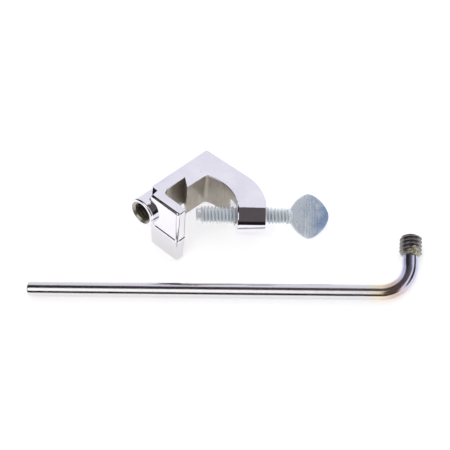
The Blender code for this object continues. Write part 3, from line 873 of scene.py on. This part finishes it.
def make_thumbscrew(material):
    """The threaded shank, running out into a short cone and then the spade head."""
    materials = [material]
    thread_x = SCREW_TIP_X + SCREW_POINT_LENGTH + GAP
    core = SCREW_RADIUS - THREAD_DEPTH * SCREW_PITCH

    def limit(x):
        start = SCREW_RADIUS - SCREW_CHAMFER + (x - thread_x)
        runout = SCREW_NECK_X - x
        return min(start, core + max(0.0, runout) * 0.8 + 0.02 * MM, SCREW_RADIUS * 1.1)

    shank = threaded("thumbscrew_finish", SCREW_RADIUS, SCREW_PITCH, SCREW_TIP_X - SCREW_PITCH,
                     thread_x, SCREW_NECK_X, limit, materials)
    shank.transform(SCREW_AXIS)
    profile = [(0.0, NECK_LENGTH)]
    for step in range(NECK_STEPS + 1):
        share = 1 - step / NECK_STEPS
        radius = 0.3 * MM + (core + 0.25 * MM) * math.cos(share * math.pi / 2) ** 0.8
        profile.append((radius, NECK_LENGTH * share))
    profile.append((core - 0.05 * MM, -0.5 * MM))
    profile.append((0.0, -0.5 * MM))
    neck = turned("neck", profile, materials)
    head = make_head(materials)
    obj = combined("thumbscrew_finish", shank, [
        ("UNION", neck, along(Vector((SCREW_NECK_X - NECK_SINK, 0, 0)), Vector((1, 0, 0)))),
        ("UNION", head, Matrix.Rotation(math.radians(HEAD_TURN_DEG), 4, "X")),
    ], CLAMP)
    finish_piece(obj, "thumbscrew", "thumbscrew")


def make_screw_point(material):
    """The plain point. It runs on inside the thread's start, so that the two read as one screw."""
    length = SCREW_POINT_LENGTH + GAP + 0.5 * MM
    profile = [(0.0, length), (SCREW_POINT_RADIUS, length)]
    rim = quarter(SCREW_POINT_RADIUS, SCREW_POINT_ROUND)
    profile += [(radius, -height) for radius, height in reversed(rim)]
    profile += [(SCREW_POINT_RADIUS * 0.45, 0.0), (SCREW_POINT_RADIUS * 0.35, 0.08 * MM), (0.0, 0.1 * MM)]
    mesh = turned("screw_point_finish", profile, [material])
    at_tip = along(Vector((SCREW_TIP_X, 0, 0)), Vector((1, 0, 0)))
    obj = new_object("screw_point_finish", mesh, CLAMP @ at_tip)
    finish_piece(obj, "screw_carrier", "screw_point")


# ---------------------------------------------------------------- the rod

def rod_stations():
    """(place, heading, radius) along the rod, from the centre of its free end to inside its sleeve."""
    rod_low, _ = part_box("l_rod")
    long_arm = ROD.translation.x - rod_low.x
    start = Vector((-long_arm, 0.0))
    stations = [(start, 0.0, 0.0), (start, 0.0, ROD_RADIUS - 1.25 * ROD_CHAMFER),
                (start + Vector((0.15 * ROD_CHAMFER, 0)), 0.0, ROD_RADIUS - ROD_CHAMFER),
                (start + Vector((ROD_CHAMFER, 0)), 0.0, ROD_RADIUS - 0.12 * ROD_CHAMFER),
                (start + Vector((1.4 * ROD_CHAMFER, 0)), 0.0, ROD_RADIUS)]
    for step in range(1, ROD_STRAIGHT_STEPS):
        x = -long_arm + (long_arm - ROD_BEND_RADIUS) * step / ROD_STRAIGHT_STEPS
        stations.append((Vector((x, 0.0)), 0.0, ROD_RADIUS))
    bend_centre = Vector((-ROD_BEND_RADIUS, ROD_BEND_RADIUS))
    for step in range(ROD_BEND_STEPS + 1):
        heading = math.pi / 2 * step / ROD_BEND_STEPS
        place = bend_centre + ROD_BEND_RADIUS * Vector((math.sin(heading), -math.cos(heading)))
        stations.append((place, heading, ROD_RADIUS))
    end = Vector((0.0, ROD_SHORT_ARM - GAP))
    stations += [(end - Vector((0, ROD_END_CHAMFER)), math.pi / 2, ROD_RADIUS),
                 (end, math.pi / 2, ROD_RADIUS - ROD_END_CHAMFER), (end, math.pi / 2, 0.0)]
    return stations


def make_rod(material):
    """The bent rod as a swept tube, with UVs that run along it (0 to 1) and round it."""
    stations = rod_stations()
    lengths = [0.0]
    for (before, *_), (after, *_) in zip(stations, stations[1:]):
        lengths.append(lengths[-1] + (after - before).length)
    bm = bmesh.new()
    uv_layer = bm.loops.layers.uv.new("along")
    grid = []
    for place, heading, radius in stations:
        side = Vector((-math.sin(heading), math.cos(heading), 0.0))
        ring = []
        for step in range(ROD_AROUND):
            turn = 2 * math.pi * step / ROD_AROUND
            offset = side * math.cos(turn) * radius + Vector((0, 0, math.sin(turn) * radius))
            ring.append(bm.verts.new(Vector((place.x, place.y, 0.0)) + offset))
        grid.append(ring)
    for row, (lower, upper) in enumerate(zip(grid, grid[1:])):
        for step in range(ROD_AROUND):
            after = (step + 1) % ROD_AROUND
            face = bm.faces.new((lower[step], lower[after], upper[after], upper[step]))
            spots = ((row, step), (row, step + 1), (row + 1, step + 1), (row + 1, step))
            for loop, (at_row, at_step) in zip(face.loops, spots):
                loop[uv_layer].uv = (lengths[at_row] / lengths[-1], at_step / ROD_AROUND)
    mesh = new_mesh("bent_rod", bm, [material], ROD_SHARP_DEG)
    obj = new_object("bent_rod", mesh, ROD)
    finish_piece(obj, "rod", "l_rod")


def make_stud(material):
    """The threaded sleeve, chamfered at both ends."""
    low = ROD_SHORT_ARM - STUD_LENGTH
    bore = ROD_RADIUS + STUD_BORE_CLEARANCE

    def limit(y):
        return min(STUD_RADIUS - STUD_CHAMFER + (ROD_SHORT_ARM - y),
                   STUD_RADIUS - STUD_CHAMFER / 2 + (y - low), STUD_RADIUS)

    mesh = threaded("stud_thread", STUD_RADIUS, STUD_PITCH, low - 1.5 * STUD_PITCH,
                    low, ROD_SHORT_ARM, limit, [material], bore)
    mesh.transform(along(Vector((0, 0, 0)), Vector((0, 1, 0))))
    obj = new_object("stud_thread", mesh, ROD)
    finish_piece(obj, "rod", "rod_stud")


def make_braze(material):
    """A lumpy bead round the rod that has crept up over the sleeve's first thread."""
    start = ROD_SHORT_ARM - STUD_LENGTH
    bm = bmesh.new()
    rings = []
    for step in range(BRAZE_AROUND):
        turn = 2 * math.pi * step / BRAZE_AROUND
        c, s = math.cos(turn), math.sin(turn)
        lump = noise.noise(Vector((c * 1.6, s * 1.6, 4.0)))
        ripple = noise.noise(Vector((c * 5, s * 5, 9.0)))
        aside = math.remainder(turn - BRAZE_BLOB_TURN, 2 * math.pi) / BRAZE_BLOB_SPREAD
        blob = math.exp(-aside * aside) * (1 + 0.5 * ripple) + max(0.0, 0.35 * lump)
        ring = []
        for radius, rise, out, up in BRAZE_SECTION:
            r = (radius + out * blob + BRAZE_RIPPLE * ripple * (radius > 3)) * MM
            ring.append(bm.verts.new((r * c, start + (rise + up * blob) * MM, -r * s)))
        rings.append(ring)
    count = len(BRAZE_SECTION)
    for step in range(BRAZE_AROUND):
        here, there = rings[step], rings[(step + 1) % BRAZE_AROUND]
        for index in range(count):
            after = (index + 1) % count
            bm.faces.new((here[index], here[after], there[after], there[index]))
    obj = new_object("braze_bead", new_mesh("braze_bead", bm, [material], BRAZE_SHARP_DEG), ROD)
    soft = obj.modifiers.new("soft", "SUBSURF")
    soft.levels = 1
    soft.render_levels = 1
    finish_piece(obj, "rod", "braze_fillet")


# ---------------------------------------------------------------- stage, light and camera

def make_floor():
    bm = bmesh.new()
    bmesh.ops.create_grid(bm, x_segments=2, y_segments=2, size=FLOOR_HALF_SIZE)
    floor = new_object("table_top", new_mesh("table_top", bm, [floor_material()]), Matrix.Identity(4))


def make_world():
    """A photographer's white sweep: bright behind and to the sides, dark overhead and in front."""
    world = bpy.data.worlds.new("sweep")
    bpy.context.scene.world = world
    world.use_nodes = True
    w = NodeTree(world.node_tree)
    x, y, z = w.split(w.add("ShaderNodeTexCoord").outputs["Generated"])
    # elevation measured over the top: 0 behind at the horizon, 0.5 overhead, 1 in front at the horizon
    over = w.math("DIVIDE", w.math("ARCTAN2", z, y), math.pi)
    # 0 at the far left, 0.5 in the middle and 1 at the far right
    side = w.math("MULTIPLY_ADD", x, 0.5, 0.5)

    ceiling = w.ramp(side, (0.25, ROOM_DARK), (0.36, (0.035, 0.032, 0.042)), (0.48, (0.105, 0.088, 0.095)))
    sweep = w.ramp(over, (0.0, (0.92, 0.92, 0.97)), (0.10, (0.90, 0.885, 0.965)))
    slant = w.math("MULTIPLY", w.math("ADD", x, SWEEP_SLANT_X), SWEEP_SLANT)
    sweep_top = w.ramp(w.math("SUBTRACT", over, slant), (0.322, BLACK), (0.335, WHITE))
    room = w.mix(sweep_top, sweep, ceiling)
    room = w.mix(w.ramp(over, (0.86, BLACK), (0.90, WHITE)), room, ROOM_DARK)

    left_height = w.ramp(over, (0.565, BLACK), (0.585, WHITE), (0.80, WHITE), (0.82, BLACK))
    left_width = w.ramp(side, (0.12, BLACK), (0.14, WHITE), (0.465, WHITE), (0.49, BLACK))
    room = w.mix(w.math("MULTIPLY", left_height, left_width), room, LEFT_BOX)
    room = w.mix(w.ramp(side, (0.79, BLACK), (0.815, WHITE)), room, RIGHT_BOX)
    room = w.mix(w.ramp(side, (0.905, BLACK), (0.92, WHITE)), room, ROOM_DARK)
    w.link(room, w.tree.nodes["Background"].inputs["Color"])


def make_light():
    """One big soft light overhead that lights the table and is not mirrored in the metal."""
    data = bpy.data.lights.new("overhead", "AREA")
    data.shape = "SQUARE"
    data.size = LIGHT_SIZE
    data.energy = LIGHT_POWER
    light = bpy.data.objects.new("overhead", data)
    bpy.context.scene.collection.objects.link(light)
    light.location = (0.0, LIGHT_BACK, LIGHT_HEIGHT)
    light.rotation_euler = (-math.atan2(LIGHT_BACK, LIGHT_HEIGHT), 0.0, 0.0)
    light.visible_glossy = False


def make_camera():
    azimuth = math.radians(CAMERA_AZIMUTH_DEG)
    elevation = math.radians(CAMERA_ELEVATION_DEG)
    back = Vector((math.sin(azimuth) * math.cos(elevation), -math.cos(azimuth) * math.cos(elevation),
                   math.sin(elevation)))
    data = bpy.data.cameras.new("camera")
    data.lens = CAMERA_LENS
    data.sensor_width = CAMERA_SENSOR
    data.clip_start, data.clip_end = CAMERA_CLIP
    camera = bpy.data.objects.new("camera", data)
    bpy.context.scene.collection.objects.link(camera)
    turn = (-back).to_track_quat("-Z", "Y").to_matrix().to_4x4()
    roll = Matrix.Rotation(math.radians(-CAMERA_ROLL_DEG), 4, "Z")
    camera.matrix_world = Matrix.Translation(CAMERA_AIM + back * CAMERA_DISTANCE) @ turn @ roll
    bpy.context.scene.camera = camera


make_camera()
make_floor()
make_world()
make_light()
bpy.context.scene.view_settings.view_transform = "Standard"
bpy.context.scene.view_settings.look = "None"

chrome = chrome_material()
make_casting([chrome, unpolished_material()])
zinc = zinc_material()
make_thumbscrew(zinc)
make_screw_point(zinc)
make_rod(rod_material())
make_stud(stud_material())
make_braze(braze_material())

bpy.context.view_layer.update()
